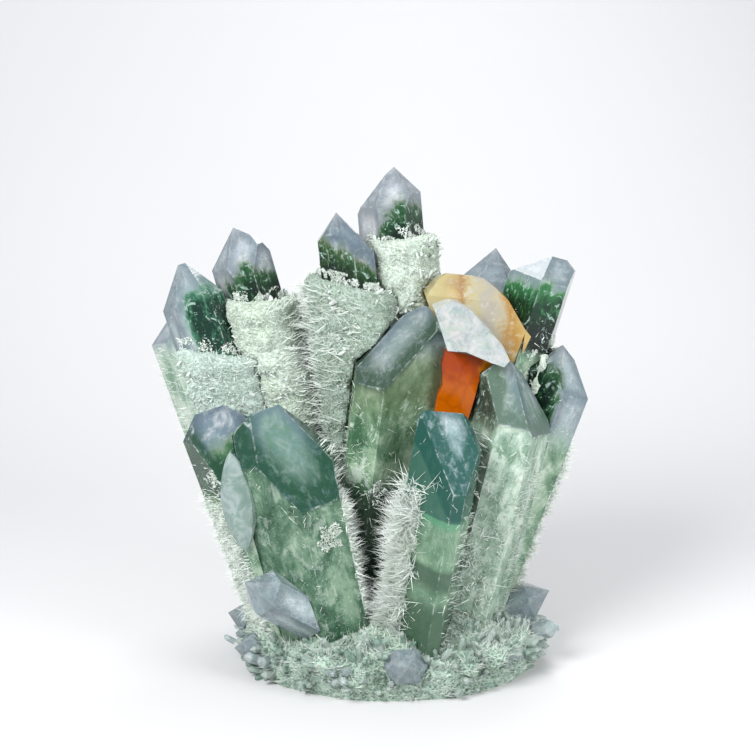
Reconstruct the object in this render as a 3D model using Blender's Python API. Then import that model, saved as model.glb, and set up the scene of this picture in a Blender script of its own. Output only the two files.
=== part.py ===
"""Green quartz cluster: crystals with chlorite phantoms that fan out of one crust, coated here and there
with druse, and three pieces of another habit wedged between them.

Lengths are in millimetres here, and become metres when a mesh is made. +X is to the right of the front view,
+Y goes to the back and +Z is up. The crust rests on its flat underside.
"""

import math
import random

import bmesh
import bpy
from mathutils import Matrix, Vector, noise

MM = 0.001
CONTACT_GAP = 0.35

# Quartz: six prism faces, closed by faces that slope 51.8 degrees from the plane across the axis
FACE_COUNT = 6
TIP_SLOPE = 51.8
FRONT_ANGLE = -90.0
BLANK_HALF = 260.0

# The crust that everything grows from
CRUST_HALF_WIDTH = 41.5
CRUST_HALF_DEPTH = 37.0
CRUST_CENTRE = (7.0, -4.0)
CRUST_RIM_HEIGHT = 11.0
CRUST_CROWN_HEIGHT = 22.0
CRUST_SECTORS = 26
CRUST_RINGS = 6
CRUST_LUMP = 5.2
LUMP_DENSITY = 2.7
LUMP_SEED = 4.2
CRUST_SPIKE = 2.2
CRUST_UNEVEN = 0.07
OUTLINE_DENSITY = 1.9
OUTLINE_SEED = 7.7
RIM_STEEPNESS = 0.3

# Small points fused to the crust, all round its rim
POINT_COUNT = 34
POINT_REACH = (4.5, 9.5)
POINT_HALF_WIDTH = (2.0, 3.6)
POINT_LEVELS = (4.0, 6.4, 8.8)
POINT_RISE = (0.1, 0.6)
POINT_SWAY = 0.4
POINT_ROOT = 0.93
POINT_DEPTH = 4.0
POINT_FLOOR = 0.6
POINT_CLEARANCE = 12.0

# Druse coats are cut into cells about this high. Each cell carries one spine, as high as this share of the
# coat's thickness, and the spines lean at random
CELL_HEIGHT = 7.5
CELL_TILT = 0.2
SPINE_SHARE = (0.4, 0.9)
SPINE_LEAN = 0.35

# Crystals are cut off this much deeper in their grown copies, so that nothing is left under a foot
FOOT_MARGIN = 2.0

CRUST_SEED = 11
POINT_SEED = 29

COLOURS = {
    "quartz": ((0.42, 0.56, 0.45, 1.0), 0.12),
    "druse": ((0.74, 0.80, 0.72, 1.0), 0.55),
    "crust": ((0.62, 0.68, 0.62, 1.0), 0.60),
    "clear": ((0.76, 0.80, 0.80, 1.0), 0.08),
    "yellow": ((0.86, 0.76, 0.42, 1.0), 0.18),
    "orange": ((0.80, 0.22, 0.01, 1.0), 0.15),
}


class Crystal:
    """One quartz crystal. The faces are distances from the axis under the tip, counter-clockwise from the
    front one, and a lift raises a face of the tip, which makes it smaller."""

    def __init__(self, name, tip, foot, faces, turn=0.0, lifts=(0.0,) * FACE_COUNT, slope=TIP_SLOPE):
        self.name = name
        self.tip = Vector(tip)
        self.foot = Vector(foot)
        self.faces = faces
        self.turn = turn
        self.lifts = lifts
        self.slope = math.radians(slope)
        self.axis = (self.tip - self.foot).normalized()
        self.right = (Vector((1, 0, 0)) - self.axis * self.axis.x).normalized()
        self.away = self.axis.cross(self.right)

    def across(self, index):
        """The outward direction of a prism face."""
        angle = math.radians(FRONT_ANGLE + self.turn + index * 360 / FACE_COUNT)
        return self.right * math.cos(angle) + self.away * math.sin(angle)


def hexagon(left, right, front, back):
    """Face distances of a crystal that stands face on, from its half widths at the side corners."""
    share = math.cos(math.radians(30))
    return (front, right * share, right * share, back, left * share, left * share)


# Large crystals, from the front ones back: a crystal later in the list gives way to those before it
LARGE_CRYSTALS = [
    Crystal("crystal_front", (19.7, -26, 76.6), (8.3, -25, 4), (14.5, 11.5, 8, 5, 6, 6.0), turn=12,
            lifts=(0, 6, 7, 0, 6, 6)),
    Crystal("crystal_front_left", (-25.5, -17, 76.6), (-10.9, -13, 4), (17.5, 12.5, 9, 8, 12.5, 15.5), turn=30,
            lifts=(0, 1.5, 2, 0, 13, 10), slope=55),
    Crystal("crystal_front_far_left", (-39.5, -14, 76.2), (-15.5, -12, 4), hexagon(13.8, 9, 13, 6),
            lifts=(0, 3, 0, 0, 9, 9)),
    Crystal("crystal_centre", (15.6, -4, 101.2), (3.4, -6, 4), (8.2, 7.2, 8, 10, 16.6, 17), turn=30,
            lifts=(5, 2, 0, 0, 3, 0)),
    Crystal("crystal_front_right", (39.8, -10, 86.3), (20.5, -12, 4), hexagon(8.5, 15.5, 12, 7),
            lifts=(0, 0, 3, 0, 3, 5)),
    Crystal("crystal_right", (55.7, 2, 88.3), (24.8, -1, 4), (9.5, 11.4, 8, 6, 7, 6), turn=30,
            lifts=(0, 3, 0, 0, 0, 3)),
    Crystal("crystal_left", (-52, 7, 111.2), (-19, 0, 4), hexagon(8, 9.6, 6, 8),
            lifts=(0, 3, 3, 0, 0, 0), slope=58),
    Crystal("crystal_far_left", (-51.5, 18, 100), (-18.8, 8, 4), hexagon(13, 7, 9, 7), slope=42),
    Crystal("crystal_upper", (-7.9, 6, 125.8), (4.5, -1, 4), (8, 9.2, 8, 7, 6, 4.5), turn=30,
            lifts=(0, 0, 2, 0, 0, 0)),
    Crystal("crystal_top", (9, 20, 136.6), (19.5, 8, 4), hexagon(11.4, 7, 9.5, 8),
            lifts=(0, 0, 0, 2, 0, 2)),
    Crystal("crystal_back_left", (-36.7, 16, 120.2), (-4.6, 7, 4), hexagon(9.2, 8.2, 10, 7),
            lifts=(0, 3, 0, 0, 0, 0)),
    Crystal("crystal_right_back", (38.2, 18, 113.4), (22.4, 11, 4), hexagon(8, 9, 7, 7)),
    Crystal("crystal_far_right", (57.6, 10, 111), (25, 5, 4), (9, 3, 4, 7, 14, 13), turn=15,
            lifts=(0, 0, 0, 0, 3, 3), slope=36),
    Crystal("crystal_inner", (30, 3, 84), (19, 2, 4), hexagon(8, 9, 6, 7)),
    Crystal("crystal_back_middle", (2, 34, 92), (6, 14, 4), hexagon(9, 9, 8, 9), lifts=(0, 2, 0, 0, 3, 0)),
    Crystal("crystal_back_right", (34, 33, 78), (19, 14, 4), hexagon(8, 9, 7, 9), lifts=(3, 0, 0, 0, 2, 0)),
    Crystal("crystal_back_far_left", (-32, 34, 74), (-10, 13, 4), hexagon(10, 8, 8, 8), lifts=(2, 0, 3, 0, 0, 0)),
]

# Small crystals at the foot, and the flat leaf-shaped one on the large front left crystal
SMALL_CRYSTALS = [
    Crystal("small_crystal_front_left", (-34, -36, 33), (-16, -26, 19), hexagon(6, 6.5, 6, 6)),
    Crystal("small_crystal_leaf", (-37, -25.2, 65.5), (-34.4, -24.9, 40), hexagon(5, 4.6, 1.9, 2), turn=-30,
            slope=66),
    Crystal("small_crystal_right_upper", (51.5, -11, 20), (34, -8, 11), hexagon(5, 5.5, 5, 5)),
    Crystal("small_crystal_right_lower", (49.5, -18, 10), (33, -12, 5.5), hexagon(5, 5, 5, 4.5)),
    Crystal("small_crystal_left_upper", (-39.5, -8, 14), (-22, -4, 7), hexagon(4.5, 4.5, 4.5, 4.5)),
    Crystal("small_crystal_left_lower", (-37.5, -21, 8.5), (-20, -13, 5), hexagon(4.5, 4.5, 4.5, 4)),
    Crystal("small_crystal_front", (9, -48, 13), (8, -30, 6), hexagon(6, 6, 4.5, 4.5)),
]


class Coat:
    """A skin of druse on a crystal's prism, between two distances down from its tip. A side is the direction
    that it covers, with how far the skin reaches back past the axis; without one it goes all round."""

    def __init__(self, name, crystal, start, stop, thick, side=None, reach=0.0, slant=0.0):
        self.name = name
        self.crystal = crystal
        self.start = start
        self.stop = stop
        self.thick = thick
        self.side = side
        self.reach = reach
        self.slant = slant


COATS = [
    Coat("druse_upper_stem", "crystal_upper", 20, 88, 3.4, slant=-0.35),
    Coat("druse_top_stem", "crystal_top", 20, 92, 3.2),
    Coat("druse_left_stem", "crystal_left", 25, 78, 3.0, side=(1, -0.5), reach=3, slant=-0.5),
    Coat("druse_back_left_stem", "crystal_back_left", 21, 84, 3.4, slant=-0.3),
    Coat("druse_needle_wall", "crystal_front", 13, 70, 4.6, side=(-1, -0.1), reach=-4.5),
    Coat("druse_front_left_edge", "crystal_front_left", 30, 66, 3.6, side=(1, 0.1), reach=-7),
    Coat("druse_far_left_edge", "crystal_front_far_left", 26, 70, 2.4, side=(-1, 0.25), reach=-6),
    Coat("druse_right_edge", "crystal_right", 32, 80, 1.6, side=(1, -0.2), reach=-4.5),
    Coat("druse_far_right_stem", "crystal_far_right", 26, 80, 2.6, side=(1, -0.1), reach=0),
    Coat("druse_front_right_foot", "crystal_front_right", 44, 80, 2.4, side=(-0.3, -1), reach=-5),
    Coat("druse_inner_stem", "crystal_inner", 16, 66, 2.8),
    Coat("druse_back_middle_stem", "crystal_back_middle", 20, 70, 2.8),
    Coat("druse_back_right_stem", "crystal_back_right", 22, 58, 2.6, side=(0.4, 1), reach=3),
]


def new_blank():
    """A closed block, larger than the whole cluster, that planes then cut down."""
    blank = bmesh.new()
    bmesh.ops.create_cube(blank, size=BLANK_HALF * 2)
    return blank


def cut(shape, point, outward):
    """Takes off what lies beyond a plane, and closes the shape there."""
    everything = shape.verts[:] + shape.edges[:] + shape.faces[:]
    bmesh.ops.bisect_plane(shape, geom=everything, plane_co=point, plane_no=outward, clear_outer=True, dist=1e-4)
    rim = [edge for edge in shape.edges if edge.is_boundary]
    if rim:
        bmesh.ops.contextual_create(shape, geom=rim)


def crystal_shape(crystal, grow=0.0, below=0.0):
    """A crystal as the space inside its planes, each moved out by the same amount."""
    shape = new_blank()
    for index in range(FACE_COUNT):
        across = crystal.across(index)
        cut(shape, crystal.tip + across * (crystal.faces[index] + grow), across)
    for index in range(FACE_COUNT):
        facing = crystal.axis * math.cos(crystal.slope) + crystal.across(index) * math.sin(crystal.slope)
        cut(shape, crystal.tip + crystal.axis * crystal.lifts[index] + facing * grow, facing)
    cut(shape, crystal.foot - crystal.axis * below, -crystal.axis)
    return shape


def add_object(name, shape):
    """The shape as an object of flat triangles, still in millimetres: cuts are steadiest like that."""
    bmesh.ops.recalc_face_normals(shape, faces=shape.faces[:])
    bmesh.ops.triangulate(shape, faces=shape.faces[:])
    mesh = bpy.data.meshes.new(name)
    shape.to_mesh(mesh)
    shape.free()
    thing = bpy.data.objects.new(name, mesh)
    bpy.context.scene.collection.objects.link(thing)
    return thing


def add_material(thing, kind):
    colour, roughness = COLOURS[kind]
    material = bpy.data.materials.new(thing.name)
    material.use_nodes = True
    shader = material.node_tree.nodes["Principled BSDF"]
    shader.inputs["Base Color"].default_value = colour
    shader.inputs["Roughness"].default_value = roughness
    shader.inputs["Metallic"].default_value = 0.0
    thing.data.materials.clear()
    thing.data.materials.append(material)


def largest_island(mesh_object):
    """Deletes the crumbs that a cut leaves."""
    shape = bmesh.new()
    shape.from_mesh(mesh_object.data)
    shape.faces.ensure_lookup_table()
    islands = []
    seen = set()
    for start in shape.faces:
        if start in seen:
            continue
        island = [start]
        seen.add(start)
        for face in island:
            for edge in face.edges:
                for other in edge.link_faces:
                    if other not in seen:
                        seen.add(other)
                        island.append(other)
        islands.append(island)
    islands.sort(key=lambda island: sum(face.calc_area() for face in island))
    crumbs = [face for island in islands[:-1] for face in island]
    bmesh.ops.delete(shape, geom=crumbs, context="FACES")
    shape.to_mesh(mesh_object.data)
    shape.free()


def combine(target, others, operation):
    """Cuts other shapes out of an object, or joins them to it, and keeps its largest body."""
    for other in others:
        boolean = target.modifiers.new("step", "BOOLEAN")
        boolean.operation = operation
        boolean.solver = "EXACT"
        boolean.object = other
    bpy.context.view_layer.update()
    graph = bpy.context.evaluated_depsgraph_get()
    result = bpy.data.meshes.new_from_object(target.evaluated_get(graph))
    target.modifiers.clear()
    target.data = result
    largest_island(target)


def near(first, second):
    """Whether two objects' boxes meet."""
    boxes = []
    for thing in (first, second):
        corners = [vertex.co for vertex in thing.data.vertices]
        boxes.append([(min(c[i] for c in corners), max(c[i] for c in corners)) for i in range(3)])
    return all(a[0] <= b[1] and b[0] <= a[1] for a, b in zip(*boxes))


def clear_scene():
    for thing in list(bpy.data.objects):
        bpy.data.objects.remove(thing)


def crust_height(share, angle):
    """Height of the crust's upper side, from its middle (0) to its rim (1)."""
    fall = 1 - share ** 2
    place = Vector((math.cos(angle), math.sin(angle), 0)) * share * LUMP_DENSITY
    lump = noise.noise(place + Vector((0, 0, LUMP_SEED)))
    return CRUST_RIM_HEIGHT + (CRUST_CROWN_HEIGHT - CRUST_RIM_HEIGHT) * fall + CRUST_LUMP * lump


def dome_shape(grow):
    """A low dome with a lumpy top, a flat underside and the stubs of small points all round its rim."""
    shape = bmesh.new()
    rings = []
    for ring in range(1, CRUST_RINGS + 1):
        share = ring / CRUST_RINGS
        points = []
        for sector in range(CRUST_SECTORS):
            angle = 2 * math.pi * sector / CRUST_SECTORS
            around = Vector((math.cos(angle), math.sin(angle), 0))
            uneven = share * (1 + CRUST_UNEVEN * noise.noise(around * OUTLINE_DENSITY + Vector((0, 0, OUTLINE_SEED))))
            x = CRUST_CENTRE[0] + around.x * (CRUST_HALF_WIDTH * uneven + grow)
            y = CRUST_CENTRE[1] + around.y * (CRUST_HALF_DEPTH * uneven + grow)
            points.append(shape.verts.new((x, y, crust_height(share, angle) + grow)))
        rings.append(points)
    crown = shape.verts.new((*CRUST_CENTRE, crust_height(0, 0) + grow))
    foot = [shape.verts.new((vertex.co.x, vertex.co.y, -grow)) for vertex in rings[-1]]
    for sector in range(CRUST_SECTORS):
        after = (sector + 1) % CRUST_SECTORS
        shape.faces.new((crown, rings[0][sector], rings[0][after]))
        for inner, outer in zip(rings, rings[1:]):
            shape.faces.new((inner[sector], outer[sector], outer[after], inner[after]))
        shape.faces.new((rings[-1][sector], foot[sector], foot[after], rings[-1][after]))
    shape.faces.new(foot[::-1])
    bmesh.ops.recalc_face_normals(shape, faces=shape.faces[:])
    rim = [face for face in shape.faces if abs(face.normal.z) < RIM_STEEPNESS]
    raise_spines(shape, rim, (CRUST_SPIKE * 0.5 + grow, CRUST_SPIKE + grow), random.Random(CRUST_SEED))
    return shape


def rim_points(grow):
    """Small points that stand out of the crust's rim, none of them lower than its underside."""
    chance = random.Random(POINT_SEED)
    shapes = []
    for index in range(POINT_COUNT):
        angle = 2 * math.pi * (index + chance.uniform(-0.25, 0.25)) / POINT_COUNT
        outward = Vector((math.cos(angle), math.sin(angle), 0))
        sideways = Vector((-math.sin(angle), math.cos(angle), 0))
        rise = Vector((0, 0, chance.uniform(*POINT_RISE)))
        direction = (outward + sideways * chance.uniform(-POINT_SWAY, POINT_SWAY) + rise).normalized()
        root = Vector((*CRUST_CENTRE, POINT_LEVELS[index % len(POINT_LEVELS)]))
        root.x += outward.x * CRUST_HALF_WIDTH * POINT_ROOT
        root.y += outward.y * CRUST_HALF_DEPTH * POINT_ROOT
        half = chance.uniform(*POINT_HALF_WIDTH)
        tip = root + direction * chance.uniform(*POINT_REACH)
        turn = chance.uniform(0, 60)
        faces = hexagon(half, half, half, half)
        point = Crystal("point", tip, root - direction * POINT_DEPTH, faces, turn=turn)
        if any((small.tip - tip).length < POINT_CLEARANCE for small in SMALL_CRYSTALS):
            continue
        shape = crystal_shape(point, grow)
        cut(shape, Vector((0, 0, POINT_FLOOR - grow)), Vector((0, 0, -1)))
        shapes.append(shape)
    return shapes


def fused(shapes):
    """One closed shape of several that overlap."""
    things = [add_object("part of one", shape) for shape in shapes]
    combine(things[0], things[1:], "UNION")
    shape = bmesh.new()
    shape.from_mesh(things[0].data)
    for thing in things:
        bpy.data.objects.remove(thing)
    return shape


def crust_shape(grow=0.0):
    return fused([dome_shape(grow)] + rim_points(grow))


def raise_spines(shape, faces, reach, chance):
    """Turns faces into low pyramids of uneven height."""
    for face in faces:
        centre = face.calc_center_median()
        height = chance.uniform(*reach)
        lean = Vector((chance.uniform(-1, 1), chance.uniform(-1, 1), chance.uniform(-1, 1)))
        poked = bmesh.ops.poke(shape, faces=[face])
        peak = poked["verts"][0]
        peak.co = centre + (face_normal(poked["faces"]) + lean * SPINE_LEAN) * height


def face_normal(faces):
    total = Vector()
    for face in faces:
        face.normal_update()
        total += face.normal
    return total.normalized()


def coat_shape(coat, crystal, seed, grow=0.0):
    """A sleeve or a strip around the crystal's prism, with one spine on each of its cells."""
    chance = random.Random(seed)
    shape = new_blank()
    for index in range(FACE_COUNT):
        across = crystal.across(index)
        cut(shape, crystal.tip + across * (crystal.faces[index] + coat.thick + grow), across)
    slanted = (crystal.axis - crystal.right * coat.slant).normalized()
    cut(shape, crystal.tip - crystal.axis * coat.start + slanted * grow, slanted)
    cut(shape, crystal.tip - crystal.axis * (coat.stop + grow), -crystal.axis)
    if coat.side:
        away = -(crystal.right * coat.side[0] + crystal.away * coat.side[1]).normalized()
        cut(shape, crystal.tip + away * (coat.reach + grow), away)
    rows = int((coat.stop - coat.start) / CELL_HEIGHT)
    for row in range(1, rows + 1):
        level = crystal.tip - crystal.axis * (coat.start + row * (coat.stop - coat.start) / (rows + 1))
        everything = shape.verts[:] + shape.edges[:] + shape.faces[:]
        tilt = (crystal.axis + crystal.right * chance.uniform(-CELL_TILT, CELL_TILT)).normalized()
        bmesh.ops.bisect_plane(shape, geom=everything, plane_co=level, plane_no=tilt, dist=1e-4)
    bmesh.ops.recalc_face_normals(shape, faces=shape.faces[:])
    outward = [face for face in shape.faces if face.normal.dot(crystal.axis) > -0.9]
    if coat.side:
        outward = [face for face in outward if face.normal.dot(away) < 0.9]
    reach = [coat.thick * share + grow for share in SPINE_SHARE]
    raise_spines(shape, outward, reach, chance)
    return shape


def grown_outline(outline, grow):
    """The outline with each side moved out, to meet its neighbours again at the corners."""
    corners = [Vector(corner) for corner in outline]
    turning = sum(a.x * b.y - b.x * a.y for a, b in zip(corners, corners[1:] + corners[:1]))
    hand = 1 if turning > 0 else -1
    grown = []
    for index, corner in enumerate(corners):
        before = (corner - corners[index - 1]).normalized()
        after = (corners[(index + 1) % len(corners)] - corner).normalized()
        outward_before = Vector((before.y, -before.x)) * hand
        outward_after = Vector((after.y, -after.x)) * hand
        mitre = outward_before + outward_after
        grown.append(corner + mitre * (grow / (1 + outward_before.dot(outward_after))))
    return grown


def slab_shape(outline, front, back, bevels, grow=0.0):
    """A chunk: an outline seen from the front, given depth, then cut by planes that face it."""
    shape = bmesh.new()
    corners = grown_outline(outline, grow)
    near_side = [shape.verts.new((x, front - grow, z)) for x, z in corners]
    far_side = [shape.verts.new((x, back + grow, z)) for x, z in corners]
    shape.faces.new(near_side)
    shape.faces.new(far_side[::-1])
    for index in range(len(corners)):
        after = (index + 1) % len(corners)
        shape.faces.new((near_side[index], far_side[index], far_side[after], near_side[after]))
    for point, outward in bevels:
        facing = Vector(outward).normalized()
        cut(shape, Vector(point) + facing * grow, facing)
    return shape


# Outlines of the three pieces of another habit, seen from the front: x, z
CLEAR_CAP = [(18, 102), (22, 104), (24.5, 103.7), (28.5, 101), (33.5, 95.5), (37, 91.5), (38.5, 88),
             (37, 86.3), (33.5, 87.5), (26.5, 90.6), (21.5, 91)]
YELLOW_PIECE = [(16.5, 103.5), (20.5, 107.7), (22.6, 108.8), (29.7, 108.2), (33, 107.5), (36.3, 105),
                (39.6, 102), (44.2, 94), (46, 91.7), (44.3, 88), (42.4, 85), (38, 83), (30, 88), (20, 93)]
ORANGE_BLOCK = [(18.2, 73.5), (27.6, 71.4), (29.5, 78), (30.3, 81), (33.3, 83.5), (35.2, 87), (33, 87.6),
                (21.1, 90.8), (20.1, 86.8), (20.4, 81), (19, 78)]


CHUNKS = [
    ("orange_block", "orange", ORANGE_BLOCK, -14, -4, [((27, -14, 83), (0.6, -1, 0.3))]),
    ("clear_cap", "clear", CLEAR_CAP, -16, -3, [((28, -16, 95), (0.3, -1, 0.5)), ((28, -6, 100), (0.2, 1, 0.9))]),
    ("yellow_crystal", "yellow", YELLOW_PIECE, -2.5, 11, [((30, -1, 104), (0.1, -1, 0.9)),
                                                          ((30, 9, 101), (0.2, 1, 0.8))]),
]


class Cluster:
    """The finished pieces so far, and for each the slightly larger shape that later pieces keep clear of."""

    def __init__(self):
        self.pieces = []
        self.cutters = []

    def add(self, name, shape, kind, larger=None):
        """Adds a piece, cut back wherever an earlier one already is."""
        piece = add_object(name, shape)
        in_the_way = [cutter for cutter in self.cutters if near(cutter, piece)]
        combine(piece, in_the_way, "DIFFERENCE")
        add_material(piece, kind)
        self.pieces.append(piece)
        if larger:
            self.cutters.append(add_object(name + "_cutter", larger))
        return piece

    def finish(self):
        """Drops the cutters, centres the pieces over their lowest level and turns millimetres into metres."""
        for cutter in self.cutters:
            bpy.data.objects.remove(cutter)
        corners = [vertex.co for piece in self.pieces for vertex in piece.data.vertices]
        low = [min(corner[i] for corner in corners) for i in range(3)]
        high = [max(corner[i] for corner in corners) for i in range(3)]
        middle = Vector(((low[0] + high[0]) / 2, (low[1] + high[1]) / 2, low[2]))
        for piece in self.pieces:
            piece.data.transform(Matrix.Scale(MM, 4) @ Matrix.Translation(-middle))


def main():
    clear_scene()
    cluster = Cluster()
    cluster.add("base_crust", crust_shape(), "crust", crust_shape(CONTACT_GAP))
    for crystal in LARGE_CRYSTALS:
        cluster.add(crystal.name, crystal_shape(crystal), "quartz", crystal_shape(crystal, CONTACT_GAP, FOOT_MARGIN))
    for name, kind, *form in CHUNKS:
        cluster.add(name, slab_shape(*form), kind, slab_shape(*form, CONTACT_GAP))
    for crystal in SMALL_CRYSTALS:
        cluster.add(crystal.name, crystal_shape(crystal), "quartz", crystal_shape(crystal, CONTACT_GAP, FOOT_MARGIN))
    stems = {crystal.name: crystal for crystal in LARGE_CRYSTALS}
    for seed, coat in enumerate(COATS):
        stem = stems[coat.crystal]
        cluster.add(coat.name, coat_shape(coat, stem, seed), "druse", coat_shape(coat, stem, seed, CONTACT_GAP))
    cluster.finish()


main()
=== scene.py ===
"""Looks of the green quartz cluster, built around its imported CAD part.

Lengths in this script are in millimetres, in the row frame. Meshes are scaled to metres when they are made.
A crystal's own frame has its origin at the tip, with z along its axis towards the tip, x to the right and y
to the back.
"""

import math

import bmesh
import bpy
import numpy as np
from mathutils import Matrix, Vector, noise
from mathutils.bvhtree import BVHTree


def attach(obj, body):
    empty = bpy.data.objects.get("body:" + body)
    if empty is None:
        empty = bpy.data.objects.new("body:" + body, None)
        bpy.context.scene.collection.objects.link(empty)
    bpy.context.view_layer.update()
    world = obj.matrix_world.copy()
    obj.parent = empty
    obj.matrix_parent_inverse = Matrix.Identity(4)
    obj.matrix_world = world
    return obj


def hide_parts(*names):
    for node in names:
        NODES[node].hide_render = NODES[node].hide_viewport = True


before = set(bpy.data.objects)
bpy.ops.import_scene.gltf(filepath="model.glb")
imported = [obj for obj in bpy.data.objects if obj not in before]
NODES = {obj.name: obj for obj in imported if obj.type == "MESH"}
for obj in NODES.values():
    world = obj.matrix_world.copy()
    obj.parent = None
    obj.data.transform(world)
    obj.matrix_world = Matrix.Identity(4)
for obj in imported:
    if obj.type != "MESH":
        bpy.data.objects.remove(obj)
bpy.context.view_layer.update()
noise.seed_set(1)

MM = 0.001

# Where the top crystal's tip is in the drawing that the crystals' tips and feet below are measured in
TOP_TIP = Vector((9, 20, 136.6))

# Camera: a long lens, a little above and to the left of the front
CAMERA_TARGET = Vector((3.3, 0, 80))
CAMERA_DISTANCE = 520.0
CAMERA_RISE = 13.6
CAMERA_SIDE = -3.0
CAMERA_LENS = 88.5
SENSOR = 36.0

# Quartz: how it bends light, how see-through it is where milky, and how rough where milky and where clear
QUARTZ_IOR = 1.544
MILKY_TRANSMISSION = 0.3
MILKY_ROUGHNESS = 0.26
CLEAR_ROUGHNESS = 0.04

# A crystal's own faces: their least area, how far anything may lie past one, and how steeply a tip's rise
SMALLEST_FACE = 1.5
PAST_FACE = 0.12
TIP_RISE = 0.25

# Meshes: bevels and the angle from which an edge has one, the longest edge of a shell, the voxels of soft
# shapes, and how far the body inside lies behind its shell
BEVEL = 0.3
BEVEL_ANGLE = 0.15
LONGEST_EDGE = 4.5
CORE_VOXEL = 1.7
CORE_INSET = 1.7
BED_VOXEL = 1.0

# Druse: how many points and grains a coat has to a square millimetre, how many points are tried above its
# rim, and how many points and needles are tried on the crust. A needle coat's node is a skin, and less than
# half of its area faces outwards.
POINTS_DENSITY = 3.2
GRAINS_DENSITY = 0.12
OUTER_SHARE = 0.4
RIM_POINTS = 3600
CRUST_POINTS = 2300
CRUST_NEEDLES = 14000


def srgb(red, green, blue):
    """A colour of the eye's scale, 0 to 255, as a shader colour."""
    linear = []
    for part in (red, green, blue):
        share = part / 255
        linear.append(share / 12.92 if share <= 0.04045 else ((share + 0.055) / 1.055) ** 2.4)
    return (*linear, 1.0)


def shader_colour(value):
    """A socket as it is, and a colour of the eye's scale as a shader colour."""
    return value if isinstance(value, bpy.types.NodeSocket) else srgb(*value)


def drawing_shift():
    """From the drawing's origin to the row frame's, in millimetres."""
    mesh = NODES["crystal_top"].data
    top = max((vertex.co for vertex in mesh.vertices), key=lambda place: place.z)
    return top / MM - TOP_TIP


SHIFT = drawing_shift()


class Stem:
    """A crystal's axis, from its foot to its tip, with its own frame."""

    def __init__(self, name, tip, foot):
        self.name = name
        self.tip = Vector(tip) + SHIFT
        self.axis = (self.tip - (Vector(foot) + SHIFT)).normalized()
        right = (Vector((1, 0, 0)) - self.axis * self.axis.x).normalized()
        self.turn = Matrix((right, self.axis.cross(right), self.axis)).transposed()
        self.up = np.array(self.axis)
        self.top = np.array(self.tip)


STEMS = {stem.name: stem for stem in (
    Stem("crystal_front", (19.7, -26, 76.6), (8.3, -25, 4)),
    Stem("crystal_front_left", (-25.5, -17, 76.6), (-10.9, -13, 4)),
    Stem("crystal_front_far_left", (-39.5, -14, 76.2), (-15.5, -12, 4)),
    Stem("crystal_centre", (15.6, -4, 101.2), (3.4, -6, 4)),
    Stem("crystal_front_right", (39.8, -10, 86.3), (20.5, -12, 4)),
    Stem("crystal_right", (55.7, 2, 88.3), (24.8, -1, 4)),
    Stem("crystal_left", (-52, 7, 111.2), (-19, 0, 4)),
    Stem("crystal_far_left", (-51.5, 18, 100), (-18.8, 8, 4)),
    Stem("crystal_upper", (-7.9, 6, 125.8), (4.5, -1, 4)),
    Stem("crystal_top", (9, 20, 136.6), (19.5, 8, 4)),
    Stem("crystal_back_left", (-36.7, 16, 120.2), (-4.6, 7, 4)),
    Stem("crystal_right_back", (38.2, 18, 113.4), (22.4, 11, 4)),
    Stem("crystal_far_right", (57.6, 10, 111), (25, 5, 4)),
    Stem("crystal_inner", (30, 3, 84), (19, 2, 4)),
    Stem("crystal_back_middle", (2, 34, 92), (6, 14, 4)),
    Stem("crystal_back_right", (34, 33, 78), (19, 14, 4)),
    Stem("crystal_back_far_left", (-32, 34, 74), (-10, 13, 4)),
    Stem("small_crystal_front_left", (-34, -36, 33), (-16, -26, 19)),
    Stem("small_crystal_right_upper", (51.5, -11, 20), (34, -8, 11)),
    Stem("small_crystal_right_lower", (49.5, -18, 10), (33, -12, 5.5)),
    Stem("small_crystal_left_upper", (-39.5, -8, 14), (-22, -4, 7)),
    Stem("small_crystal_left_lower", (-37.5, -21, 8.5), (-20, -13, 5)),
    Stem("small_crystal_front", (9, -48, 13), (8, -30, 6)),
    Stem("orange_block", (30, -9, 84), (27, -9, 50)),
    Stem("clear_cap", (30, -9, 104), (30, -9, 80)),
    Stem("yellow_crystal", (33, 4, 110), (33, 4, 80)),
)}


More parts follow.
